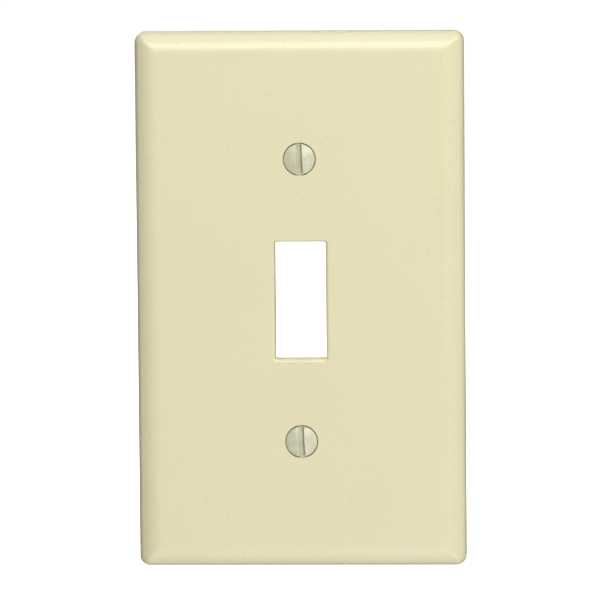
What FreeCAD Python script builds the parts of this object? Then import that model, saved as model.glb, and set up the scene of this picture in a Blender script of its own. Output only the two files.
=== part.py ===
"""One-gang toggle wall plate with its two mounting screws and their retaining washers.

The plate stands upright as it does on a wall. +Z is up, the face looks along -Y,
and the origin is the middle of the plate on the plane of the wall, where its rear rim rests.
All sizes are in millimetres.
"""

import FreeCAD, Part
import os
from math import cos, pi, radians, sin, sqrt, tan

V = FreeCAD.Vector

# --- driving dimensions ------------------------------------------------------

# the plate's outside
PLATE_WIDTH = 69.85
PLATE_HEIGHT = 114.3
PLATE_DEPTH = 5.6
CORNER_RADIUS = 2.2
SHOULDER_RADIUS = 2.0  # turns the side wall into the bevel
BEVEL_ANGLE = 30.0  # degrees from the face
BEVEL_FLAT = 0.5  # straight stretch of the bevel
FACE_BLEND_RADIUS = 7.0  # turns the bevel into the face

# the plate's inside
WEB_THICKNESS = 2.3
RIM_THICKNESS = 2.2
RECESS_CORNER_RADIUS = 1.2
RIB_THICKNESS = 1.2
RIB_HEIGHT = 1.3
RAIL_SPACING = 31.0
RAIL_LENGTH = 88.0
CROSS_RIB_HEIGHTS = (-43.4, -19.5, 19.5, 43.4)
EJECTOR_RADIUS = 2.5
EJECTOR_STEP = 0.12
EJECTOR_PLACES = [(x, z) for x in (-24.0, 24.0) for z in (-46.0, 0.0, 46.0)]
FOOT_RADIUS = 0.4  # where the rim's walls meet the web

# the toggle opening
OPENING_WIDTH = 10.8
OPENING_HEIGHT = 25.0
OPENING_CORNER_RADIUS = 0.3
OPENING_EDGE_RADIUS = 0.8
COLLAR_THICKNESS = 1.4
COLLAR_HEIGHT = 2.0

# the screws, number 6-32 UNC, half an inch long from the edge of the head
SCREW_SPACING = 60.325
THREAD_RADIUS = 1.7526
THREAD_PITCH = 25.4 / 32
SCREW_LENGTH = 12.7
TIP_CHAMFER = 0.45
PLAIN_NECK = 0.5  # between the head's cone and the first turn of thread
HEAD_RADIUS = 3.27
HEAD_LAND = 0.12
HEAD_CONE_ANGLE = 82.0
CROWN_HEIGHT = 0.9
CROWN_EDGE = 0.06  # the crown starts this far inside the head's edge
SLOT_WIDTH = 1.2
SLOT_DEPTH = 1.5
SLOT_LEAN = {"upper": 2.5, "lower": 3.0}  # degrees, the slot's top towards the left

# where the screws pass through the plate
SCREW_HOLE_RADIUS = 1.98
LIP_RADIUS = 3.53  # of the straight-sided mouth round each head
LIP_DEPTH = 0.45
HEAD_SINK = 0.15  # how far the edge of a head lies below the face
SEAT_CLEARANCE = 0.05  # sideways, between the head's cone and its seat
BOSS_RADIUS = 4.3
BOSS_END_Y = -1.5

# the push-on washers that keep the screws in the plate
WASHER_RADIUS = 3.0
WASHER_BORE_RADIUS = 1.81
WASHER_THICKNESS = 0.75
WASHER_GAP = 0.1
WASHER_CHAMFER = 0.12
SLIT_COUNT = 4
SLIT_WIDTH = 0.35
SLIT_REACH = 2.45  # how far out from the axis each slit goes

# --- sizes worked out from them ----------------------------------------------

ACROSS, BACKWARD, UPWARD = V(1, 0, 0), V(0, 1, 0), V(0, 0, 1)
SHORT = 0.3  # how far a cutting tool runs past what it cuts, where there is little room
LONG = 2.0  # the same, where there is plenty

FACE_Y = -PLATE_DEPTH
WEB_REAR_Y = FACE_Y + WEB_THICKNESS
THREAD_DEPTH = 5 / 8 * sqrt(3) / 2 * THREAD_PITCH
HEAD_SLOPE = tan(radians(HEAD_CONE_ANGLE / 2))
SCREW_HEIGHTS = {"upper": SCREW_SPACING / 2, "lower": -SCREW_SPACING / 2}


# --- simple shapes -----------------------------------------------------------


def box(x, y, z):
    """A box between two values on each axis."""
    size = [high - low for low, high in (x, y, z)]
    return Part.makeBox(*size, V(x[0], y[0], z[0]))


def rod(radius, y_low, y_high, x=0.0, z=0.0):
    """A cylinder that points backward."""
    return Part.makeCylinder(radius, y_high - y_low, V(x, y_low, z), BACKWARD)


def taper(radius_low, radius_high, y_low, y_high, z=0.0):
    """A cone that points backward, with the radius at each end."""
    return Part.makeCone(radius_low, radius_high, y_high - y_low, V(0, y_low, z), BACKWARD)


def rounded_block(width, height, radius, y_low, y_high):
    """A block centred on the origin, with its four backward edges rounded."""
    block = box((-width / 2, width / 2), (y_low, y_high), (-height / 2, height / 2))
    return block.makeFillet(radius, backward_edges(block))


def backward_edges(shape):
    return [e for e in shape.Edges if abs(e.tangentAt(e.FirstParameter).y) > 0.999]


def frame_block(width, height, thickness, y_low, y_high):
    """A rectangular frame around a clear width and height."""
    inner = box((-width / 2, width / 2), (y_low - LONG, y_high + LONG), (-height / 2, height / 2))
    return rounded_block(width + 2 * thickness, height + 2 * thickness, thickness / 2,
                         y_low, y_high).cut(inner)


# --- the plate's outside -----------------------------------------------------


def arc_point(start, radius, start_angle, angle):
    """Where an arc from start gets to as its slope against the face eases to angle.

    Points are (inward from the plate's side, forward from the wall).
    """
    return (start[0] + radius * (sin(start_angle) - sin(angle)),
            start[1] + radius * (cos(angle) - cos(start_angle)))


def edge_profile():
    """The points of the line from the rear rim over the plate's edge to its face."""
    upright, slope = pi / 2, radians(BEVEL_ANGLE)
    rise = (SHOULDER_RADIUS * cos(slope) + BEVEL_FLAT * sin(slope)
            + FACE_BLEND_RADIUS * (1 - cos(slope)))
    rim = (0.0, 0.0)
    side = (0.0, PLATE_DEPTH - rise)
    shoulder_middle = arc_point(side, SHOULDER_RADIUS, upright, (upright + slope) / 2)
    shoulder = arc_point(side, SHOULDER_RADIUS, upright, slope)
    flat = (shoulder[0] + BEVEL_FLAT * cos(slope), shoulder[1] + BEVEL_FLAT * sin(slope))
    blend_middle = arc_point(flat, FACE_BLEND_RADIUS, slope, slope / 2)
    face = arc_point(flat, FACE_BLEND_RADIUS, slope, 0.0)
    return rim, side, shoulder_middle, shoulder, flat, blend_middle, face


def plate_section(span, across):
    """The plate's outline cut across its width or its height, as a flat face."""
    edges, ends = [], []
    for side_sign in (-1, 1):
        rim, side, shoulder_middle, shoulder, flat, blend_middle, face = [
            across * (side_sign * (span / 2 - inward)) - BACKWARD * forward
            for inward, forward in edge_profile()]
        edges += [
            Part.makeLine(rim, side),
            Part.Arc(side, shoulder_middle, shoulder).toShape(),
            Part.makeLine(shoulder, flat),
            Part.Arc(flat, blend_middle, face).toShape(),
        ]
        ends.append((rim, face))
    edges += [Part.makeLine(left, right) for left, right in zip(*ends)]
    return Part.Face(Part.Wire(Part.__sortEdges__(edges)))


def plate_corner(section):
    """The corner at the upper right: the edge's profile turned a quarter of the way round."""
    x = PLATE_WIDTH / 2 - CORNER_RADIUS
    z = PLATE_HEIGHT / 2 - CORNER_RADIUS
    profile = section.common(box((x, x + LONG * 2), (FACE_Y, 0), (-LONG, LONG)))
    turned = profile.translated(UPWARD * z).revolve(V(x, 0, z), BACKWARD, -90)
    square = box((x, x + LONG * 2), (FACE_Y - LONG, LONG), (z, z + LONG * 2))
    return square, turned


def plate_blank():
    """The solid pillow: bevels on four sides that meet in mitres, and round corners."""
    width_section = plate_section(PLATE_WIDTH, ACROSS)
    height_section = plate_section(PLATE_HEIGHT, UPWARD)
    upright = width_section.translated(UPWARD * (-PLATE_HEIGHT / 2)).extrude(UPWARD * PLATE_HEIGHT)
    level = height_section.translated(ACROSS * (-PLATE_WIDTH / 2)).extrude(ACROSS * PLATE_WIDTH)
    blank = upright.common(level)
    for mirrors in ([], [ACROSS], [UPWARD], [ACROSS, UPWARD]):
        square, turned = plate_corner(width_section)
        for normal in mirrors:
            square, turned = square.mirror(V(), normal), turned.mirror(V(), normal)
        blank = blank.cut(square).fuse(turned)
    return blank.removeSplitter()


# --- the plate's inside ------------------------------------------------------


def recess():
    """The hollow behind the face, with a soft foot where its walls meet the web."""
    hollow = rounded_block(PLATE_WIDTH - 2 * RIM_THICKNESS, PLATE_HEIGHT - 2 * RIM_THICKNESS,
                           RECESS_CORNER_RADIUS, WEB_REAR_Y, LONG)
    floor = [e for e in hollow.Edges if e.BoundBox.YMax < WEB_REAR_Y + 0.01]
    return hollow.makeFillet(FOOT_RADIUS, floor)


def ribs():
    """Two upright rails and the cross ribs that tie them together."""
    y = (WEB_REAR_Y - SHORT, WEB_REAR_Y + RIB_HEIGHT)
    half = RIB_THICKNESS / 2
    rails = [box((x - half, x + half), y, (-RAIL_LENGTH / 2, RAIL_LENGTH / 2))
             for x in (-RAIL_SPACING / 2, RAIL_SPACING / 2)]
    crosses = [box((-RAIL_SPACING / 2, RAIL_SPACING / 2), y, (z - half, z + half))
               for z in CROSS_RIB_HEIGHTS]
    return rails + crosses


def ejector_pads():
    """Low round pads where the mould's ejector pins pushed."""
    return [rod(EJECTOR_RADIUS, WEB_REAR_Y - SHORT, WEB_REAR_Y + EJECTOR_STEP, x, z)
            for x, z in EJECTOR_PLACES]


def toggle_cutter():
    """What the toggle opening takes away, with the face's edge rolled into it."""
    radius = OPENING_EDGE_RADIUS
    hole = rounded_block(OPENING_WIDTH, OPENING_HEIGHT, OPENING_CORNER_RADIUS, FACE_Y - LONG, LONG)
    mouth = rounded_block(OPENING_WIDTH + 2 * radius, OPENING_HEIGHT + 2 * radius,
                          OPENING_CORNER_RADIUS + radius, FACE_Y - LONG, FACE_Y + radius)
    lip = rounded_block(OPENING_WIDTH + 4 * radius, OPENING_HEIGHT + 4 * radius,
                        OPENING_CORNER_RADIUS + 2 * radius, FACE_Y, FACE_Y + 3 * radius).cut(hole)
    rolled = lip.makeFillet(radius, [e for e in lip.Edges if on_opening_mouth(e)])
    return hole.fuse(mouth.cut(rolled))


def on_opening_mouth(edge):
    """Whether an edge runs round the opening on the plane of the face."""
    bounds, hair = edge.BoundBox, 0.01
    beside = abs(bounds.Center.x) < OPENING_WIDTH / 2 + hair
    level = abs(bounds.Center.z) < OPENING_HEIGHT / 2 + hair
    return beside and level and bounds.YMax < FACE_Y + hair


def screw_hole(z):
    """The clearance hole, the countersunk seat and the straight-sided mouth above it."""
    seat_radius = HEAD_RADIUS + SEAT_CLEARANCE
    seat_depth = (seat_radius - SCREW_HOLE_RADIUS) / HEAD_SLOPE
    head_y = FACE_Y + HEAD_SINK
    seat = taper(seat_radius, SCREW_HOLE_RADIUS, head_y, head_y + seat_depth, z)
    mouth = rod(LIP_RADIUS, FACE_Y - LONG, FACE_Y + LIP_DEPTH, z=z)
    return rod(SCREW_HOLE_RADIUS, FACE_Y - LONG, LONG, z=z).fuse([seat, mouth])


def wall_plate():
    """The moulded cover."""
    collar = frame_block(OPENING_WIDTH - 2 * SHORT, OPENING_HEIGHT - 2 * SHORT,
                         COLLAR_THICKNESS + SHORT, WEB_REAR_Y - SHORT, WEB_REAR_Y + COLLAR_HEIGHT)
    bosses = [rod(BOSS_RADIUS, WEB_REAR_Y - SHORT, BOSS_END_Y, z=z) for z in SCREW_HEIGHTS.values()]
    solid = plate_blank().cut(recess())
    solid = solid.fuse([collar] + bosses + ribs() + ejector_pads())
    for cutter in [toggle_cutter()] + [screw_hole(z) for z in SCREW_HEIGHTS.values()]:
        solid = solid.cut(cutter)
    return solid.removeSplitter()


# --- the screws and washers, made along Z and then laid along Y --------------


def thread_groove(start, end):
    """The helical groove between the turns of a 60 degree thread."""
    root_half = THREAD_PITCH / 8
    mouth_half = root_half + THREAD_DEPTH * tan(pi / 6)
    outside = THREAD_RADIUS + SHORT
    half = [V(THREAD_RADIUS - THREAD_DEPTH, 0, root_half), V(THREAD_RADIUS, 0, mouth_half),
            V(outside, 0, mouth_half)]
    loop = half + [V(p.x, 0, -p.z) for p in reversed(half)]
    helix = Part.Wire(Part.makeLongHelix(THREAD_PITCH, end - start, THREAD_RADIUS).Edges)
    groove = helix.makePipeShell([Part.makePolygon(loop + loop[:1])], True, True)
    return groove.translated(UPWARD * start)


def crown():
    """The head's low dome, from its edge at the origin up to the top at minus CROWN_HEIGHT."""
    reach = HEAD_RADIUS - CROWN_EDGE
    radius = (reach ** 2 + CROWN_HEIGHT ** 2) / (2 * CROWN_HEIGHT)
    ball = Part.makeSphere(radius, UPWARD * (radius - CROWN_HEIGHT))
    return ball.common(Part.makeCylinder(reach, CROWN_HEIGHT + LONG, UPWARD * (-CROWN_HEIGHT - LONG)))


def slot_cutter():
    """The driver slot, in line with X, below a crown whose edge is at the origin."""
    half_length = HEAD_RADIUS + LONG
    top, floor = -CROWN_HEIGHT - LONG, SLOT_DEPTH - CROWN_HEIGHT
    corner = V(-half_length, -SLOT_WIDTH / 2, top)
    return Part.makeBox(2 * half_length, SLOT_WIDTH, floor - top, corner)


def screw(which):
    """An oval-head machine screw, its head's edge at Z = 0 and its tip up."""
    cone_end = (HEAD_RADIUS - THREAD_RADIUS) / HEAD_SLOPE
    shank_end = SCREW_LENGTH - TIP_CHAMFER
    body = Part.makeCylinder(THREAD_RADIUS, shank_end - cone_end, UPWARD * cone_end)
    tip = Part.makeCone(THREAD_RADIUS, THREAD_RADIUS - TIP_CHAMFER, TIP_CHAMFER, UPWARD * shank_end)
    shank = body.fuse(tip).cut(thread_groove(cone_end + PLAIN_NECK, SCREW_LENGTH + THREAD_PITCH))
    head = Part.makeCone(HEAD_RADIUS, THREAD_RADIUS, cone_end)
    land = Part.makeCylinder(HEAD_RADIUS, HEAD_LAND, UPWARD * -HEAD_LAND)
    head = head.fuse([land, crown().translated(UPWARD * -HEAD_LAND)])
    head = head.cut(slot_cutter().translated(UPWARD * -HEAD_LAND))
    whole = shank.fuse(head).removeSplitter()
    # a quarter turn lays the slot upright, and the rest is its lean
    whole = whole.rotated(V(), UPWARD, 90 - SLOT_LEAN[which])
    return stand_behind_face(whole, FACE_Y + HEAD_SINK, SCREW_HEIGHTS[which])


def retaining_washer(which):
    """A thin slit washer pushed over the thread, behind the plate's boss."""
    rim = Part.makeCylinder(WASHER_RADIUS, WASHER_THICKNESS)
    disc = rim.makeChamfer(WASHER_CHAMFER, [e for e in rim.Edges if e.Closed])
    disc = disc.cut(Part.makeCylinder(WASHER_BORE_RADIUS, WASHER_THICKNESS))
    slit = Part.makeBox(SLIT_REACH, SLIT_WIDTH, WASHER_THICKNESS, V(0, -SLIT_WIDTH / 2, 0))
    for number in range(SLIT_COUNT):
        disc = disc.cut(slit.rotated(V(), UPWARD, number * 360 / SLIT_COUNT + SLOT_LEAN[which]))
    return stand_behind_face(disc, BOSS_END_Y + WASHER_GAP, SCREW_HEIGHTS[which])


def stand_behind_face(shape, y, z):
    """Turn a shape that was made along +Z to point backward, and put it in its place."""
    return shape.rotated(V(), ACROSS, -90).translated(V(0, y, z))


def pieces():
    yield "wall_plate", wall_plate()
    for which in SCREW_HEIGHTS:
        yield f"{which}_screw", screw(which)
        yield f"{which}_screw_retainer", retaining_washer(which)


os.makedirs("parts", exist_ok=True)
for name, shape in pieces():
    solids = shape.Solids
    print(name, "solids", len(solids), "valid", shape.isValid(), "volume", round(shape.Volume, 2))
    solids[0].exportStep(f"parts/{name}.step")
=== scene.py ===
"""The finished look of a one-gang toggle wall plate, its two screws and their washers.

Shapes are worked out in millimetres, in the frame's own axes: +Z up, the face towards -Y.
They become metres when each mesh is made.
"""

from math import acos, asin, atan2, cos, hypot, pi, radians, sin, sqrt, tan

import bpy
import bmesh
from mathutils import Matrix, Vector
from mathutils.geometry import tessellate_polygon


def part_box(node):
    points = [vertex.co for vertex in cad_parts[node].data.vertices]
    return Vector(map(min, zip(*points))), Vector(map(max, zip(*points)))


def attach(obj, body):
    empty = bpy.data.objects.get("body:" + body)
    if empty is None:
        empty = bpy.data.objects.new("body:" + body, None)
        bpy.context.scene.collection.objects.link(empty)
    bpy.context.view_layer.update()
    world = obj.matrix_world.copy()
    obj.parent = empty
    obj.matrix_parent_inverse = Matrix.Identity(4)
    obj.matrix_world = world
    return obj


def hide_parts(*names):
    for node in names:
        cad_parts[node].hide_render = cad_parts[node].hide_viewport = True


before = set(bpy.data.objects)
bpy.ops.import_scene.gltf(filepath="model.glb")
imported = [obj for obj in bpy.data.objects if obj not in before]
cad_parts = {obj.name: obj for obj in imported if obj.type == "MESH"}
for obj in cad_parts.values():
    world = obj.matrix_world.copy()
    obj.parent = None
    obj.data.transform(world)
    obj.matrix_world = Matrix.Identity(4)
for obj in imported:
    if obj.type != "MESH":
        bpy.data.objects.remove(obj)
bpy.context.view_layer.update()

MM = 0.001
HAIR = 0.001  # a distance in millimetres too small to matter
WELD = 1e-7  # points this close in metres become one

# --- sizes from the frame ------------------------------------------------------

plate_low, plate_high = [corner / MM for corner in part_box("wall_plate")]
PLATE_WIDTH = plate_high.x - plate_low.x
PLATE_HEIGHT = plate_high.z - plate_low.z
FACE_Y = plate_low.y

# --- sizes that the design gives -----------------------------------------------

CORNER_RADIUS = 2.2
SHOULDER_RADIUS = 2.0
BEVEL_ANGLE = radians(30)
BEVEL_FLAT = 0.5
FACE_BLEND_RADIUS = 7.0
CREASE_RADIUS = 0.55
RIM_EDGE = 0.18

WEB_THICKNESS = 2.3
WEB_REAR_Y = FACE_Y + WEB_THICKNESS
RIM_THICKNESS = 2.2
RECESS_CORNER_RADIUS = 1.2
FOOT_RADIUS = 0.4
SMALL_FOOT = 0.25
SMALL_EDGE = 0.18

RAIL_SPACING = 31.0
RIB_THICKNESS = 1.2
RIB_HEIGHT = 1.3
CROSS_RIB_HEIGHTS = (-43.4, -19.5, 19.5, 43.4)
LADDER_CORNER_RADIUS, CELL_CORNER_RADIUS = 0.6, 0.5
EJECTOR_PLACES = [(x, z) for x in (-24.0, 24.0) for z in (-46.0, 0.0, 46.0)]
EJECTOR_RADIUS = 2.5
EJECTOR_STEP = 0.12
# a pad's flank, as shares of its step: (outward, up)
EJECTOR_FLANK = ((1.0, 0.0), (0.3, 0.25), (0.0, 0.8), (-0.6, 1.0))

OPENING_WIDTH = 10.8
OPENING_HEIGHT = 25.0
OPENING_CORNER_RADIUS = 0.3
OPENING_EDGE_RADIUS = 0.8
COLLAR_THICKNESS = 1.4
COLLAR_HEIGHT = 2.0

SCREW_SPACING = 60.325
SCREW_HEIGHTS = {"upper": SCREW_SPACING / 2, "lower": -SCREW_SPACING / 2}
SLOT_LEAN = {"upper": radians(2.5), "lower": radians(3.0)}
THREAD_RADIUS = 1.7526
THREAD_PITCH = 25.4 / 32
THREAD_DEPTH = 5 / 8 * sqrt(3) / 2 * THREAD_PITCH
SCREW_LENGTH = 12.7
TIP_CHAMFER = 0.45
PLAIN_NECK = 0.5
HEAD_RADIUS = 3.27
HEAD_LAND = 0.12
CONE_START = 0.02  # how far behind the head's edge its cone begins
WEAR_END = 0.03  # how far behind it the paint is rubbed
HEAD_SLOPE = tan(radians(41))
CROWN_HEIGHT = 0.9
CROWN_EDGE = 0.06
SLOT_WIDTH = 1.2
SLOT_DEPTH = 1.5
SLOT_EDGE = 0.09
SLOT_BRINK = SLOT_WIDTH / 2 + SLOT_EDGE
SLOT_FLOOR = SLOT_DEPTH - CROWN_HEIGHT - HEAD_LAND
CONE_END = (HEAD_RADIUS - THREAD_RADIUS) / HEAD_SLOPE
SCREW_HOLE_RADIUS = 1.98
LIP_RADIUS = 3.53
LIP_DEPTH = 0.45
LIP_EDGE = 0.08
HEAD_SINK = 0.15
HEAD_RIM_Y = FACE_Y + HEAD_SINK
SEAT_CLEARANCE = 0.05
SEAT_RADIUS = HEAD_RADIUS + SEAT_CLEARANCE
BOSS_RADIUS = 4.3
BOSS_END_Y = -1.5

WASHER_RADIUS = 3.0
WASHER_BORE_RADIUS = 1.81
WASHER_THICKNESS = 0.75
WASHER_GAP = 0.1
WASHER_FRONT_Y = BOSS_END_Y + WASHER_GAP
WASHER_EDGE = 0.12
SLIT_WIDTH = 0.35
SLIT_REACH = 2.45
SLIT_COUNT = 4
SLIT_EDGE = 0.05

# --- how finely the meshes are divided --------------------------------------------

CORNER_STEPS = 12
CIRCLE_STEPS, WASHER_STEPS, EJECTOR_STEPS = 72, 96, 40
EDGE_ROLL_STEPS, OPENING_ROLL_STEPS = 6, 10
SHOULDER_STEPS, FACE_BLEND_STEPS = 14, 20
CROWN_ROWS = 24
CROWN_EDGE_ROWS = 4
SLOT_WALL_ROWS = 5
CONE_ROWS = 8
HALF_COLUMNS = 40
EDGE_COLUMNS = 5
END_COLUMNS = 8
BORE_STEPS = 14
SLIT_STEPS = 10

# the thread over one turn: (share of the pitch, share of the thread's depth)
THREAD_PROFILE = ((0.0, 0.05), (1 / 16, 0.0), (1 / 8, 0.05), (9 / 32, 0.5),
                  (7 / 16, 0.95), (9 / 16, 1.0), (11 / 16, 0.95), (27 / 32, 0.5))
THREAD_RUN_IN = 0.75  # turns over which the groove deepens
THREAD_SNAP = 0.004

# --- colours, as linear light -----------------------------------------------------

IVORY_DEEP, IVORY_LIGHT = (0.757, 0.706, 0.459), (0.773, 0.724, 0.477)
PAINT_DEEP, PAINT_LIGHT = (0.60, 0.59, 0.43), (0.69, 0.68, 0.50)
# painted shade: a dark olive that stands in for shadow in the screws' slots and thread roots and
# round their heads
PAINTED_SHADE = (0.10, 0.10, 0.05)
SLOT_PAINTED_SHADE, SEAT_PAINTED_SHADE = 0.62, 0.36  # how much painted shade darkens a screw's slot and thread roots, and the plate round its head
ZINC_DEEP, ZINC_LIGHT = (0.55, 0.56, 0.57), (0.72, 0.72, 0.71)
NYLON_DEEP, NYLON_LIGHT = (0.80, 0.78, 0.70), (0.88, 0.87, 0.80)
FLOOR_DEEP, FLOOR_LIGHT = (0.90, 0.90, 0.90), (0.93, 0.93, 0.93)
PAINT_END = 1.45  # how far behind the head's edge the paint stops
PAINT_FADE = 0.06  # half the width over which it stops
PAINT_STRAY = 0.25  # how far its end wanders
RUBBED_SHARE = 0.55  # how much paint is gone where an edge is rubbed
NOISE_LOW, NOISE_HIGH = 0.3, 0.7  # noise keeps mostly between these

# --- the studio, in metres ----------------------------------------------------------

CAMERA_DISTANCE = 1.5
CAMERA_LENS = 422.1
CAMERA_YAW, CAMERA_PITCH, CAMERA_ROLL = radians(3.0), radians(6.2), radians(0.5)
CAMERA_OFFSET = (-0.000376, -0.00044)
CAMERA_CLIP = (0.05, 50.0)
SENSOR_WIDTH = 36.0  # millimetres
FLOOR_SIZE = 14.0
FLOOR_DROP = 0.05
FLOOR_GLOW = 1.0
ROOM_COLOUR = (1.0, 1.0, 1.0)
ROOM_STRENGTH = 0.05
# name, degrees to the right of the face's front, degrees up, distance, size, power, and
# whether gloss reflects it, which it doesn't where that would put a glint on the corners
SOFTBOXES = (
    ("key", 20, 36, 1.0, (1.2, 0.36), 6.25, True),
    ("key_middle", -2, 36, 1.0, (0.6, 0.36), 1.9, True),
    ("key_right", 50, 32, 1.0, (0.6, 0.4), 0.76, True),
    ("overhead", 0, 72, 1.0, (0.8, 0.8), 2.85, True),
    ("low_fill", 15, -42, 1.0, (0.7, 0.9), 5.45, True),
    ("rear_left", 215, 30, 1.2, (0.8, 0.8), 5.5, False),
    ("rear_right", 150, 15, 1.2, (0.6, 0.8), 6.5, False),
    ("rear_high", 183, 38, 1.2, (0.9, 0.8), 5.0, False),
    ("rear_low", 180, -42, 1.2, (0.9, 0.6), 3.0, True),
    ("side_left", 248, 12, 1.2, (0.6, 0.8), 1.0, False),
    ("under", 5, -78, 1.0, (0.8, 0.6), 1.4, True),
)


# --- mesh building ---------------------------------------------------------------


class Shell:
    """A closed surface put together from rings of points and flat fills between them."""

    def __init__(self):
        self.points = []
        self.marks = {"worn": [], "depth": [], "painted_shade": []}
        self.faces = []

    def point(self, x, y, z, worn=0.0, depth=0.0, painted_shade=0.0):
        """Adds a point with its wear, depth behind a head and painted shade, and gives its number.
        """
        self.points.append(Vector((x, y, z)))
        self.marks["worn"].append(worn)
        self.marks["depth"].append(depth)
        self.marks["painted_shade"].append(painted_shade)
        return len(self.points) - 1

    def ring(self, places, y, painted_shade=0.0):
        """Adds a closed ring of (x, z) places at one depth, and gives its point numbers."""
        return [self.point(x, y, z, painted_shade=painted_shade) for x, z in places]

    def face(self, *corners):
        """Adds a face, apart from any corner that it names twice over."""
        kept = [corner for i, corner in enumerate(corners) if corner != corners[i - 1]]
        if len(set(kept)) > 2:
            self.faces.append(tuple(kept))

    def band(self, one, other):
        """Joins two rings of the same length with a band of quads."""
        for i in range(len(one)):
            j = (i + 1) % len(one)
            self.face(one[i], one[j], other[j], other[i])

    def stack(self, outline, steps, painted_shade=0.0):
        """Rings of one outline, each at an (offset, y) step, joined in turn.

        Gives the first and the last.
        """
        rings = [self.ring(outline(offset), y, painted_shade) for offset, y in steps]
        for one, other in zip(rings, rings[1:]):
            self.band(one, other)
        return rings[0], rings[-1]

    def fill(self, outer, holes=()):
        """Fills a flat outline, apart from its holes."""
        loops = [outer] + list(holes)
        flat = [[self.points[i] for i in loop] for loop in loops]
        numbers = [i for loop in loops for i in loop]
        for triangle in tessellate_polygon(flat):
            self.faces.append(tuple(numbers[i] for i in triangle))

    def make(self, name, material):
        """Turns the shell into an object, in metres, with faces that look outward."""
        mesh = bpy.data.meshes.new(name)
        mesh.from_pydata([p * MM for p in self.points], [], self.faces)
        for mark, values in self.marks.items():
            if any(values):
                mesh.attributes.new(mark, "FLOAT", "POINT").data.foreach_set("value", values)
        clean = bmesh.new()
        clean.from_mesh(mesh)
        bmesh.ops.remove_doubles(clean, verts=clean.verts, dist=WELD)
        bmesh.ops.dissolve_degenerate(clean, edges=clean.edges, dist=WELD)
        bmesh.ops.recalc_face_normals(clean, faces=clean.faces)
        clean.to_mesh(mesh)
        clean.free()
        mesh.materials.append(material)
        mesh.shade_smooth()
        thing = bpy.data.objects.new(name, mesh)
        bpy.context.scene.collection.objects.link(thing)
        thing.modifiers.new("flat_fills_shade_flat", "WEIGHTED_NORMAL")
        return thing


def rounded_rectangle(width, height, radius, least_radius=0.05):
    """An outline that grows by an offset, with corners that grow with it."""
    def outline(offset):
        r = max(radius + offset, least_radius)
        half_x, half_z = width / 2 + offset - r, height / 2 + offset - r
        places = []
        for corner in range(4):
            side_x = 1 if corner in (0, 3) else -1
            side_z = 1 if corner in (0, 1) else -1
            for step in range(CORNER_STEPS + 1):
                angle = (corner + step / CORNER_STEPS) * pi / 2
                places.append((side_x * half_x + r * cos(angle),
                               side_z * half_z + r * sin(angle)))
        return places
    return outline


def moved(outline, x, z):
    """The same outline somewhere else."""
    return lambda offset: [(px + x, pz + z) for px, pz in outline(offset)]


def circle(radius, x=0.0, z=0.0, steps=CIRCLE_STEPS):
    """A round outline that grows by an offset."""
    def outline(offset):
        r = radius + offset
        angles = [2 * pi * i / steps for i in range(steps)]
        return [(x + r * cos(angle), z + r * sin(angle)) for angle in angles]
    return outline


def quarter(start, end, first, steps=EDGE_ROLL_STEPS):
    """(offset, y) steps round a quarter turn. first is the way it sets off, across or deep."""
    found = []
    for step in range(1, steps + 1):
        angle = step / steps * pi / 2
        lead, lag = sin(angle), 1 - cos(angle)
        across, deep = (lead, lag) if first == "across" else (lag, lead)
        found.append((start[0] + (end[0] - start[0]) * across,
                      start[1] + (end[1] - start[1]) * deep))
    return found


def edge_steps():
    """(offset, y) steps over the plate's outer edge, from the rear rim to the face."""
    rise = (SHOULDER_RADIUS * cos(BEVEL_ANGLE) + BEVEL_FLAT * sin(BEVEL_ANGLE)
            + FACE_BLEND_RADIUS * (1 - cos(BEVEL_ANGLE)))
    inward, y = 0.0, FACE_Y + rise
    steps = [(0.0, y)]
    arcs = ((SHOULDER_RADIUS, pi / 2, BEVEL_ANGLE, SHOULDER_STEPS),
            (FACE_BLEND_RADIUS, BEVEL_ANGLE, 0.0, FACE_BLEND_STEPS))
    for radius, start, end, count in arcs:
        for step in range(1, count + 1):
            angle = start + (end - start) * step / count
            steps.append((-inward - radius * (sin(start) - sin(angle)),
                          y - radius * (cos(angle) - cos(start))))
        inward, y = -steps[-1][0], steps[-1][1]
        if start == pi / 2:
            inward, y = inward + BEVEL_FLAT * cos(end), y - BEVEL_FLAT * sin(end)
            steps.append((-inward, y))
    return steps


def plate_edge(shell):
    """The plate's edge from the web's rear, round the rim, to the face. Gives its end rings."""
    outside = rounded_rectangle(PLATE_WIDTH, PLATE_HEIGHT, CORNER_RADIUS, CREASE_RADIUS)
    inside = rounded_rectangle(PLATE_WIDTH - 2 * RIM_THICKNESS, PLATE_HEIGHT - 2 * RIM_THICKNESS,
                               RECESS_CORNER_RADIUS)
    foot = [(-FOOT_RADIUS, WEB_REAR_Y)]
    foot += quarter(foot[0], (0.0, WEB_REAR_Y + FOOT_RADIUS), "across")
    lip = (0.0, -RIM_EDGE)
    web_edge, rim_inner = shell.stack(inside, foot + [lip] + quarter(lip, (RIM_EDGE, 0.0), "deep"))
    start = (-RIM_EDGE, 0.0)
    around = [start] + quarter(start, (0.0, -RIM_EDGE), "across") + edge_steps()
    rim_outer, face_edge = shell.stack(outside, around)
    shell.band(rim_inner, rim_outer)
    return web_edge, face_edge


def raised(height_y, edge=SMALL_EDGE, foot=SMALL_FOOT):
    """(offset, y) steps from the web up a raised wall to its top, for a wall that faces outward."""
    start = (foot, WEB_REAR_Y)
    steps = [start] + quarter(start, (0.0, WEB_REAR_Y + foot), "across")
    crest = (0.0, height_y - edge)
    return steps + [crest] + quarter(crest, (-edge, height_y), "deep")


def sunk(height_y):
    """The same for a wall that faces inward, as round a cell between ribs."""
    return [(-offset, y) for offset, y in raised(height_y)]


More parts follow.
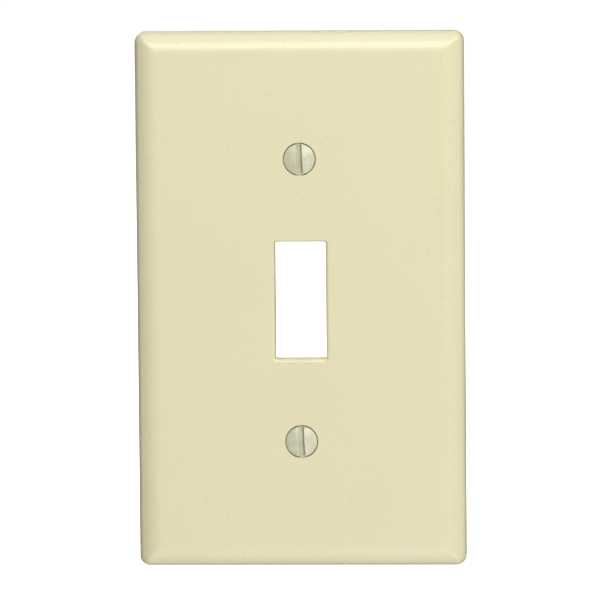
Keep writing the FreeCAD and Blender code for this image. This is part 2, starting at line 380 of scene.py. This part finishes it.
def toggle_opening(shell):
    """The rolled mouth, the wall and the collar behind. Gives its rings in the face and the web."""
    clear = rounded_rectangle(OPENING_WIDTH, OPENING_HEIGHT, OPENING_CORNER_RADIUS)
    top_y = WEB_REAR_Y + COLLAR_HEIGHT
    mouth = (OPENING_EDGE_RADIUS, FACE_Y)
    steps = [mouth] + quarter(mouth, (0.0, FACE_Y + OPENING_EDGE_RADIUS), "across",
                              OPENING_ROLL_STEPS)
    crest = (0.0, top_y - SMALL_EDGE)
    steps += [crest] + quarter(crest, (SMALL_EDGE, top_y), "deep")
    face_ring, inner_top = shell.stack(clear, steps)
    around = rounded_rectangle(OPENING_WIDTH + 2 * COLLAR_THICKNESS,
                               OPENING_HEIGHT + 2 * COLLAR_THICKNESS, COLLAR_THICKNESS / 2)
    web_ring, outer_top = shell.stack(around, raised(top_y))
    shell.band(inner_top, outer_top)
    return face_ring, web_ring


def screw_boss(shell, z):
    """A screw's mouth, seat and hole, with the boss behind. Gives its rings in face and web."""
    lip = (LIP_EDGE, FACE_Y)
    face_ring, lip_ring = shell.stack(circle(LIP_RADIUS, z=z),
                                      [lip] + quarter(lip, (0.0, FACE_Y + LIP_EDGE), "across"))
    ledge_y = FACE_Y + LIP_DEPTH
    ledge_radius = SEAT_RADIUS - (LIP_DEPTH - HEAD_SINK) * HEAD_SLOPE
    seat_end_y = HEAD_RIM_Y + (SEAT_RADIUS - SCREW_HOLE_RADIUS) / HEAD_SLOPE
    hole = circle(SCREW_HOLE_RADIUS, z=z)
    across = LIP_RADIUS - SCREW_HOLE_RADIUS
    # the mouth and seat round the head get painted shade; the bore behind them doesn't
    shaded = [(across, FACE_Y + LIP_EDGE * 2), (across, ledge_y),
             (ledge_radius - SCREW_HOLE_RADIUS, ledge_y), (0.0, seat_end_y)]
    mouth_ring, seat_ring = shell.stack(hole, shaded, painted_shade=1.0)
    shell.band(lip_ring, mouth_ring)
    crest = (0.0, BOSS_END_Y - SMALL_EDGE)
    clean = [crest] + quarter(crest, (SMALL_EDGE, BOSS_END_Y), "deep")
    bore_ring, inner_top = shell.stack(hole, clean)
    shell.band(seat_ring, bore_ring)
    web_ring, outer_top = shell.stack(circle(BOSS_RADIUS, z=z), raised(BOSS_END_Y))
    shell.band(inner_top, outer_top)
    return face_ring, web_ring


def rib_cells():
    """The outlines of the spaces between the rails and cross ribs, from the lowest up."""
    for low, high in zip(CROSS_RIB_HEIGHTS, CROSS_RIB_HEIGHTS[1:]):
        cell = rounded_rectangle(RAIL_SPACING - RIB_THICKNESS, high - low - RIB_THICKNESS,
                                 CELL_CORNER_RADIUS)
        yield moved(cell, 0.0, (low + high) / 2)


def moulded_plate(material):
    """The whole plate: face, bevels, rim, recess, ribs, collar, bosses and ejector pads."""
    shell = Shell()
    web_edge, face_edge = plate_edge(shell)
    toggle_face, collar_foot = toggle_opening(shell)
    bosses = [screw_boss(shell, SCREW_HEIGHTS[which]) for which in ("lower", "upper")]
    faces, boss_feet = zip(*bosses)
    shell.fill(face_edge, [toggle_face, *faces])

    rib_top = WEB_REAR_Y + RIB_HEIGHT
    ladder = rounded_rectangle(RAIL_SPACING + RIB_THICKNESS,
                               CROSS_RIB_HEIGHTS[-1] * 2 + RIB_THICKNESS, LADDER_CORNER_RADIUS)
    ladder_foot, ladder_top = shell.stack(ladder, raised(rib_top))
    cells = [shell.stack(cell, sunk(rib_top)) for cell in rib_cells()]
    shell.fill(ladder_top, [top for _, top in cells])
    for (foot, _), standing in zip(cells, (boss_feet[0], collar_foot, boss_feet[1])):
        shell.fill(foot, [standing])

    pads = []
    flank = [(EJECTOR_STEP * out, WEB_REAR_Y + EJECTOR_STEP * up) for out, up in EJECTOR_FLANK]
    for x, z in EJECTOR_PLACES:
        pad_foot, pad_top = shell.stack(circle(EJECTOR_RADIUS, x, z, EJECTOR_STEPS), flank)
        shell.fill(pad_top)
        pads.append(pad_foot)
    shell.fill(web_edge, [ladder_foot, *pads])
    return shell.make("moulded_plate", material)


# --- the screws --------------------------------------------------------------------


def head_profile():
    """Rows from the crown out and down to the slot's floor.

    Each is (radius, depth, normal's radius part, normal's depth part).
    """
    reach = HEAD_RADIUS - CROWN_EDGE
    ball = (reach ** 2 + CROWN_HEIGHT ** 2) / (2 * CROWN_HEIGHT)
    crown_top = -HEAD_LAND - CROWN_HEIGHT
    rows = []
    for step in range(CROWN_ROWS + 1):
        r = SLOT_BRINK + (reach - SLOT_BRINK) * step / CROWN_ROWS
        rows.append((r, crown_top + ball - sqrt(ball ** 2 - r ** 2),
                     r / ball, -sqrt(1 - (r / ball) ** 2)))
    lean = asin(reach / ball)
    for step in range(1, CROWN_EDGE_ROWS + 1):
        angle = lean + (pi / 2 - lean) * step / CROWN_EDGE_ROWS
        rows.append((reach + CROWN_EDGE * sin(angle), -HEAD_LAND + CROWN_EDGE * (1 - cos(angle)),
                     sin(angle), -cos(angle)))
    cone_normal = (1 / hypot(1, HEAD_SLOPE), HEAD_SLOPE / hypot(1, HEAD_SLOPE))
    rows.append((HEAD_RADIUS, -CONE_START, 1.0, 0.0))
    for step in range(SLOT_WALL_ROWS + 1):
        s = CONE_START + (SLOT_FLOOR - CONE_START) * step / SLOT_WALL_ROWS
        rows.append((HEAD_RADIUS - s * HEAD_SLOPE, s, *cone_normal))
    return rows


def head_row(r, s, normal_r, normal_s, on_floor):
    """One row of half the head, from one end of the slot's edge round to the other.

    Each spot is (across the slot, along it, depth, wear).
    """
    reach = acos(min(1.0, SLOT_BRINK / r))
    rim_wear = 1.0 if abs(r - HEAD_RADIUS) < CROWN_EDGE and s < WEAR_END else 0.0
    middle = []
    for column in range(HALF_COLUMNS + 1):
        angle = reach * (2 * column / HALF_COLUMNS - 1)
        middle.append((r * cos(angle), r * sin(angle), s, rim_wear))
    v = r * sin(reach)
    along, deep = normal_r * v / r, normal_s
    length = hypot(along, deep) or 1.0
    brink = []
    for step in range(1, EDGE_COLUMNS + 1):
        turn = step / EDGE_COLUMNS * pi / 2
        u = SLOT_BRINK - SLOT_EDGE * sin(turn)
        sink = SLOT_EDGE * (1 - cos(turn)) / length
        if on_floor:
            brink.append((u, sqrt(r ** 2 - u ** 2), s, 0.0))
        else:
            brink.append((u, v - sink * along, s - sink * deep, sin(2 * turn)))
    return [(u, -v, s, worn) for u, v, s, worn in reversed(brink)] + middle + brink


def half_head(place, shell, side):
    """One half of the head beside the slot. Gives its lowest row."""
    profile = head_profile()
    rows = []
    for row in profile:
        spots = head_row(*row, on_floor=row is profile[-1])
        rows.append([place(side * u, side * v, s, worn) for u, v, s, worn in spots])
    for one, other in zip(rows, rows[1:]):
        for i in range(len(one) - 1):
            shell.face(one[i], one[i + 1], other[i + 1], other[i])
        shell.face(one[0], one[-1], other[-1], other[0])
    return rows[-1]


def screw_head(place, shell):
    """The oval head and its slot. Gives the ring of points on the cone at the slot's floor."""
    right, left = half_head(place, shell, 1), half_head(place, shell, -1)
    r = HEAD_RADIUS - SLOT_FLOOR * HEAD_SLOPE
    start = acos(SLOT_WIDTH / 2 / r)
    ends = []
    for turn in (0.0, pi):
        angles = [start + (pi - 2 * start) * step / END_COLUMNS + turn
                  for step in range(1, END_COLUMNS)]
        ends.append([place(r * cos(a), r * sin(a), SLOT_FLOOR) for a in angles])
    shell.fill([right[0], right[-1], *ends[0], left[0], left[-1], *ends[1]])
    return right + ends[0] + left + ends[1]


def thread(place, shell, angles, neck):
    """The thread from the neck's last ring to the tip. Gives the ring round the tip."""
    start = CONE_END + PLAIN_NECK
    tip_radius = THREAD_RADIUS - TIP_CHAMFER
    tip = [place(tip_radius * cos(a), tip_radius * sin(a), SCREW_LENGTH) for a in angles]
    made = {}

    def corner(row, column):
        turn, part = divmod(row, len(THREAD_PROFILE))
        if column == len(angles):
            turn, column = turn - 1, 0
        along, depth = THREAD_PROFILE[part]
        angle = angles[column]
        s = start + THREAD_PITCH * (turn + along - (angle - angles[0]) / (2 * pi))
        if s < start + THREAD_SNAP:
            return neck[column]
        if s > SCREW_LENGTH - THREAD_SNAP:
            return tip[column]
        if (turn, part, column) not in made:
            run_in = min(1.0, (s - start) / (THREAD_RUN_IN * THREAD_PITCH))
            r = THREAD_RADIUS - THREAD_DEPTH * depth * run_in ** 2 * (3 - 2 * run_in)
            r = min(r, tip_radius + SCREW_LENGTH - s)
            # painted shade, deepening into the thread's roots
            made[turn, part, column] = place(r * cos(angle), r * sin(angle), s,
                                             painted_shade=depth * run_in)
        return made[turn, part, column]

    turns = (SCREW_LENGTH - start) / THREAD_PITCH + 1
    for row in range(int(turns * len(THREAD_PROFILE)) + 1):
        for column in range(len(angles)):
            shell.face(corner(row, column), corner(row, column + 1),
                       corner(row + 1, column + 1), corner(row + 1, column))
    return tip


def machine_screw(which, material):
    """An oval-head slotted screw with a painted head."""
    shell = Shell()
    lean, height = SLOT_LEAN[which], SCREW_HEIGHTS[which]

    def place(u, v, s, worn=0.0, painted_shade=0.0):
        """A point from (across the slot, along the slot, behind the head's edge)."""
        x, z = u * cos(lean) - v * sin(lean), u * sin(lean) + v * cos(lean)
        # painted shade inside the slot: none at one wall, a little across the middle, deepening to
        # a painted shadow along the other wall
        if abs(u) < SLOT_WIDTH / 2 + HAIR and 0 < s < SLOT_FLOOR + HAIR:
            painted_shade = 0.5 + u / SLOT_WIDTH
        return shell.point(x, HEAD_RIM_Y + s, z + height, worn, s, painted_shade)

    cone = screw_head(place, shell)
    angles = []
    for number in cone:
        spot = shell.points[number]
        angle = atan2(spot.z - height, spot.x) - lean
        angles.append(angle % (2 * pi) if angles and angle < angles[0] else angle)
    top_radius = HEAD_RADIUS - SLOT_FLOOR * HEAD_SLOPE
    for step in range(1, CONE_ROWS + 1):
        s = SLOT_FLOOR + (CONE_END - SLOT_FLOOR) * step / CONE_ROWS
        r = top_radius - (s - SLOT_FLOOR) * HEAD_SLOPE
        ring = [place(r * cos(a), r * sin(a), s) for a in angles]
        shell.band(cone, ring)
        cone = ring
    for s in (CONE_END + PLAIN_NECK / 2, CONE_END + PLAIN_NECK):
        ring = [place(THREAD_RADIUS * cos(a), THREAD_RADIUS * sin(a), s) for a in angles]
        shell.band(cone, ring)
        cone = ring
    shell.fill(thread(place, shell, angles, cone))
    return shell.make(f"{which}_machine_screw", material)


# --- the washers -------------------------------------------------------------------


def slit_bore(lean):
    """The washer's bore and its slits, as an outline that grows by an offset."""
    half = SLIT_WIDTH / 2
    ends = SLIT_REACH - half
    gap = asin(half / WASHER_BORE_RADIUS)
    places = []
    for number in range(SLIT_COUNT):
        first = 2 * pi * number / SLIT_COUNT - lean
        next_slit = first + 2 * pi / SLIT_COUNT
        for step in range(BORE_STEPS + 1):
            angle = first + gap + (next_slit - first - 2 * gap) * step / BORE_STEPS
            places.append(Vector((WASHER_BORE_RADIUS * cos(angle),
                                  WASHER_BORE_RADIUS * sin(angle))))
        outward = Vector((cos(next_slit), sin(next_slit)))
        sideways = Vector((-outward.y, outward.x))
        for step in range(SLIT_STEPS + 1):
            turn = pi * step / SLIT_STEPS
            places.append(outward * (ends + half * sin(turn)) - sideways * half * cos(turn))

    def outline(offset):
        grown = []
        for i, spot in enumerate(places):
            run = places[(i + 1) % len(places)] - places[i - 1]
            outward = Vector((run.y, -run.x)).normalized()
            grown.append((spot - outward * offset)[:])
        return grown
    return outline


def retaining_washer(which, material):
    """A thin nylon push-on washer with a slit bore and soft edges."""
    shell = Shell()
    height = SCREW_HEIGHTS[which]
    front, rear = WASHER_FRONT_Y, WASHER_FRONT_Y + WASHER_THICKNESS

    def wall(outline, edge):
        """One wall from front to rear, which curls in at both ends by the edge."""
        into_front = [(edge, front)] + quarter((edge, front), (0.0, front + abs(edge)), "across")
        crest = (0.0, rear - abs(edge))
        return shell.stack(outline, into_front + [crest] + quarter(crest, (edge, rear), "deep"))

    outside = circle(WASHER_RADIUS, z=height, steps=WASHER_STEPS)
    bore = moved(slit_bore(SLOT_LEAN[which]), 0.0, height)
    outer_front, outer_rear = wall(outside, -WASHER_EDGE)
    bore_front, bore_rear = wall(bore, SLIT_EDGE)
    shell.fill(outer_front, [bore_front])
    shell.fill(outer_rear, [bore_rear])
    return shell.make(f"{which}_retaining_washer", material)


# --- materials -----------------------------------------------------------------------


class Finish:
    """A material and the nodes that drive its one surface shader."""

    def __init__(self, name, **settings):
        self.material = bpy.data.materials.new(name)
        self.material.use_nodes = True
        self.tree = self.material.node_tree
        self.surface = self.tree.nodes["Principled BSDF"]
        for socket, value in settings.items():
            self.surface.inputs[socket.replace("_", " ")].default_value = value
        self.place = self.tree.nodes.new("ShaderNodeTexCoord").outputs["Object"]

    def noise(self, scale, detail=3.0, roughness=0.5, stretch=None):
        """Noise over the object's own space, with about scale lumps to the metre."""
        texture = self.tree.nodes.new("ShaderNodeTexNoise")
        texture.inputs["Scale"].default_value = scale
        texture.inputs["Detail"].default_value = detail
        texture.inputs["Roughness"].default_value = roughness
        if stretch:
            mapping = self.tree.nodes.new("ShaderNodeMapping")
            mapping.inputs["Scale"].default_value = stretch
            self.tree.links.new(self.place, mapping.inputs["Vector"])
            self.tree.links.new(mapping.outputs["Vector"], texture.inputs["Vector"])
        else:
            self.tree.links.new(self.place, texture.inputs["Vector"])
        return texture.outputs["Fac"]

    def mark(self, name):
        """A value that the mesh carries on its points."""
        node = self.tree.nodes.new("ShaderNodeAttribute")
        node.attribute_name = name
        return node.outputs["Fac"]

    def spread(self, value, low, high, to_low=0.0, to_high=1.0):
        """A value's stretch from low to high, laid onto another and held inside it."""
        node = self.tree.nodes.new("ShaderNodeMapRange")
        limits = {"From Min": low, "From Max": high, "To Min": to_low, "To Max": to_high}
        for socket, number in limits.items():
            node.inputs[socket].default_value = number
        self.tree.links.new(value, node.inputs["Value"])
        return node.outputs["Result"]

    def mottle(self, scale, to_low=0.0, to_high=1.0, **settings):
        """Noise that covers the whole range between two values."""
        return self.spread(self.noise(scale, **settings), NOISE_LOW, NOISE_HIGH, to_low, to_high)

    def combine(self, operation, one, other):
        """Two values put together by a math operation. The second may be a number."""
        node = self.tree.nodes.new("ShaderNodeMath")
        node.operation = operation
        for socket, value in zip(node.inputs, (one, other)):
            if isinstance(value, (int, float)):
                socket.default_value = value
            else:
                self.tree.links.new(value, socket)
        return node.outputs[0]

    def blend(self, share, one, other):
        """A colour between two others, each given as numbers or as another blend."""
        node = self.tree.nodes.new("ShaderNodeMix")
        node.data_type = "RGBA"
        self.tree.links.new(share, node.inputs["Factor"])
        for socket, value in ((node.inputs[6], one), (node.inputs[7], other)):
            if isinstance(value, tuple):
                socket.default_value = (*value, 1.0)
            else:
                self.tree.links.new(value, socket)
        return node.outputs[2]

    def drive(self, socket, value):
        """Leads a value to one of the surface shader's sockets."""
        self.tree.links.new(value, self.surface.inputs[socket])

    def bump(self, height, distance, strength=1.0):
        """Fine relief, with its depth in metres."""
        node = self.tree.nodes.new("ShaderNodeBump")
        node.inputs["Distance"].default_value = distance
        node.inputs["Strength"].default_value = strength
        self.tree.links.new(height, node.inputs["Height"])
        self.tree.links.new(node.outputs["Normal"], self.surface.inputs["Normal"])


def ivory_plastic():
    """Glossy moulded thermoset, with the faint cloudiness and orange peel of a moulded face, and
    painted shade round the screw heads.
    """
    finish = Finish("ivory_plastic", IOR=1.5)
    cloud = finish.combine("MULTIPLY", finish.noise(45, detail=1.0), 0.5)
    grain = finish.combine("MULTIPLY", finish.noise(2400, detail=3.0), 0.5)
    tone = finish.spread(finish.combine("ADD", cloud, grain), 0.25, 0.75)
    ivory = finish.blend(tone, IVORY_DEEP, IVORY_LIGHT)
    # painted shade in the mouth and seat round each screw head, broken up by noise
    shaded = finish.combine("MULTIPLY", finish.mark("painted_shade"), SEAT_PAINTED_SHADE)
    shaded = finish.combine("MULTIPLY", shaded, finish.spread(finish.noise(1500), 0.3, 0.6, 0.6, 1.0))
    finish.drive("Base Color", finish.blend(shaded, ivory, PAINTED_SHADE))
    finish.drive("Roughness", finish.mottle(900, 0.27, 0.31, detail=4.0))
    finish.bump(finish.noise(1100, detail=1.5), 3e-6, 0.2)
    return finish.material


def painted_steel():
    """Zinc plated steel, with ivory paint on the head that is thin and rubbed along its edges, and
    painted shade in the slot and the thread's roots.
    """
    finish = Finish("painted_steel", IOR=1.5)
    stray = finish.mottle(1800, -PAINT_STRAY, PAINT_STRAY)
    ragged = finish.combine("ADD", finish.mark("depth"), stray)
    covered = finish.spread(ragged, PAINT_END - PAINT_FADE, PAINT_END + PAINT_FADE, 1.0, 0.0)
    patches = finish.spread(finish.noise(2600), 0.42, 0.62)
    rubbed = finish.combine("MULTIPLY", finish.mark("worn"), patches)
    paint = finish.combine("SUBTRACT", covered, finish.combine("MULTIPLY", rubbed, RUBBED_SHARE))
    paint = finish.combine("MAXIMUM", paint, 0.0)
    tone = finish.spread(finish.noise(700), 0.35, 0.65)
    ivory = finish.blend(tone, PAINT_DEEP, PAINT_LIGHT)
    brushed = finish.mottle(1200, stretch=(1.0, 0.25, 1.0))
    zinc = finish.blend(brushed, ZINC_DEEP, ZINC_LIGHT)
    # painted shade: a little over the slot and the thread, deepening into the thread's roots and to
    # a painted shadow along one side of the slot
    shade_share = finish.spread(finish.mark("painted_shade"), 0.55, 1.0, 0.2, 1.0)
    inside = finish.spread(finish.mark("painted_shade"), 0.0, 0.1)
    shaded = finish.combine("MULTIPLY", finish.combine("MULTIPLY", shade_share, SLOT_PAINTED_SHADE), inside)
    finish.drive("Base Color", finish.blend(shaded, finish.blend(paint, zinc, ivory), PAINTED_SHADE))
    finish.drive("Metallic", finish.spread(paint, 0.2, 0.8, 0.8, 0.0))
    duller = finish.spread(paint, 0.2, 0.8, 0.14, 0.0)
    finish.drive("Roughness", finish.combine("ADD", duller, finish.mottle(1500, 0.26, 0.40)))
    finish.bump(finish.noise(3200, detail=2.0), 6e-6, 0.5)
    return finish.material


def natural_nylon():
    """Slightly milky nylon that lets some light through."""
    finish = Finish("natural_nylon", IOR=1.53, Transmission_Weight=0.35, Subsurface_Weight=0.3,
                    Subsurface_Radius=(0.001, 0.0009, 0.0007))
    finish.drive("Base Color", finish.blend(finish.mottle(500), NYLON_DEEP, NYLON_LIGHT))
    finish.drive("Roughness", finish.mottle(1100, 0.38, 0.5))
    finish.bump(finish.noise(2500), 5e-6, 0.5)
    return finish.material


def studio_white():
    """The floor's matt white, with a glow of its own."""
    finish = Finish("studio_white", Roughness=0.9, Specular_IOR_Level=0.0,
                    Emission_Strength=FLOOR_GLOW)
    finish.surface.inputs["Emission Color"].default_value = (1.0, 1.0, 1.0, 1.0)
    finish.drive("Base Color", finish.blend(finish.mottle(6), FLOOR_DEEP, FLOOR_LIGHT))
    return finish.material


# --- the pieces in place ---------------------------------------------------------------

plate = moulded_plate(ivory_plastic())
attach(plate, "wall_plate")
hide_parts("wall_plate")

steel, nylon = painted_steel(), natural_nylon()
for which in SCREW_HEIGHTS:
    screw = machine_screw(which, steel)
    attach(screw, f"{which}_screw")
    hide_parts(f"{which}_screw")
    washer = retaining_washer(which, nylon)
    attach(washer, f"{which}_retainer")
    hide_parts(f"{which}_screw_retainer")


# --- the studio --------------------------------------------------------------------------


def floor():
    """A large pale floor a little below the plate, which glows like a light table.

    The low lights shine up through it, and it throws no light of its own on the plate.
    """
    half, low = FLOOR_SIZE / 2, plate_low.z * MM - FLOOR_DROP
    mesh = bpy.data.meshes.new("studio_floor")
    corners = [(-half, -half, low), (half, -half, low), (half, half, low), (-half, half, low)]
    mesh.from_pydata(corners, [], [(0, 1, 2, 3)])
    mesh.materials.append(studio_white())
    ground = bpy.data.objects.new("studio_floor", mesh)
    bpy.context.scene.collection.objects.link(ground)
    ground.visible_diffuse = ground.visible_glossy = ground.visible_shadow = False


def direction(right, up):
    """Towards a place so far to the right of the face's front, and so far up."""
    return Vector((sin(right) * cos(up), -cos(right) * cos(up), sin(up)))


def softbox(name, right, up, distance, size, power, mirrored):
    """A rectangular light that looks at the plate."""
    light = bpy.data.lights.new(name, "AREA")
    light.shape = "RECTANGLE"
    light.size, light.size_y = size
    light.energy = power
    lamp = bpy.data.objects.new(name, light)
    away = direction(radians(right), radians(up))
    lamp.location = away * distance
    lamp.visible_glossy = mirrored
    lamp.rotation_euler = (-away).to_track_quat("-Z", "Y").to_euler()
    bpy.context.scene.collection.objects.link(lamp)


def surroundings():
    """White where the camera looks past the plate, and a dimmer white for the light it gives."""
    world = bpy.data.worlds.new("studio")
    world.use_nodes = True
    tree = world.node_tree
    seen = tree.nodes.new("ShaderNodeBackground")
    seen.inputs["Color"].default_value = (1.0, 1.0, 1.0, 1.0)
    room = tree.nodes["Background"]
    room.inputs["Color"].default_value = (*ROOM_COLOUR, 1.0)
    room.inputs["Strength"].default_value = ROOM_STRENGTH
    path = tree.nodes.new("ShaderNodeLightPath")
    mix = tree.nodes.new("ShaderNodeMixShader")
    tree.links.new(path.outputs["Is Camera Ray"], mix.inputs["Fac"])
    tree.links.new(room.outputs["Background"], mix.inputs[1])
    tree.links.new(seen.outputs["Background"], mix.inputs[2])
    tree.links.new(mix.outputs["Shader"], tree.nodes["World Output"].inputs["Surface"])
    bpy.context.scene.world = world


def camera():
    """A long lens well back from the plate, a little above it and to its right."""
    lens = bpy.data.cameras.new("camera")
    lens.sensor_width = SENSOR_WIDTH
    lens.lens = CAMERA_LENS
    lens.clip_start, lens.clip_end = CAMERA_CLIP
    eye = bpy.data.objects.new("camera", lens)
    away = direction(CAMERA_YAW, CAMERA_PITCH)
    turn = (-away).to_track_quat("-Z", "Y").to_matrix()
    turn = turn @ Matrix.Rotation(-CAMERA_ROLL, 3, "Z")
    target = turn @ Vector((*CAMERA_OFFSET, 0.0))
    eye.matrix_world = Matrix.Translation(target + away * CAMERA_DISTANCE) @ turn.to_4x4()
    bpy.context.scene.collection.objects.link(eye)
    bpy.context.scene.camera = eye


floor()
surroundings()
for box in SOFTBOXES:
    softbox(*box)
camera()
bpy.context.scene.view_settings.view_transform = "Standard"
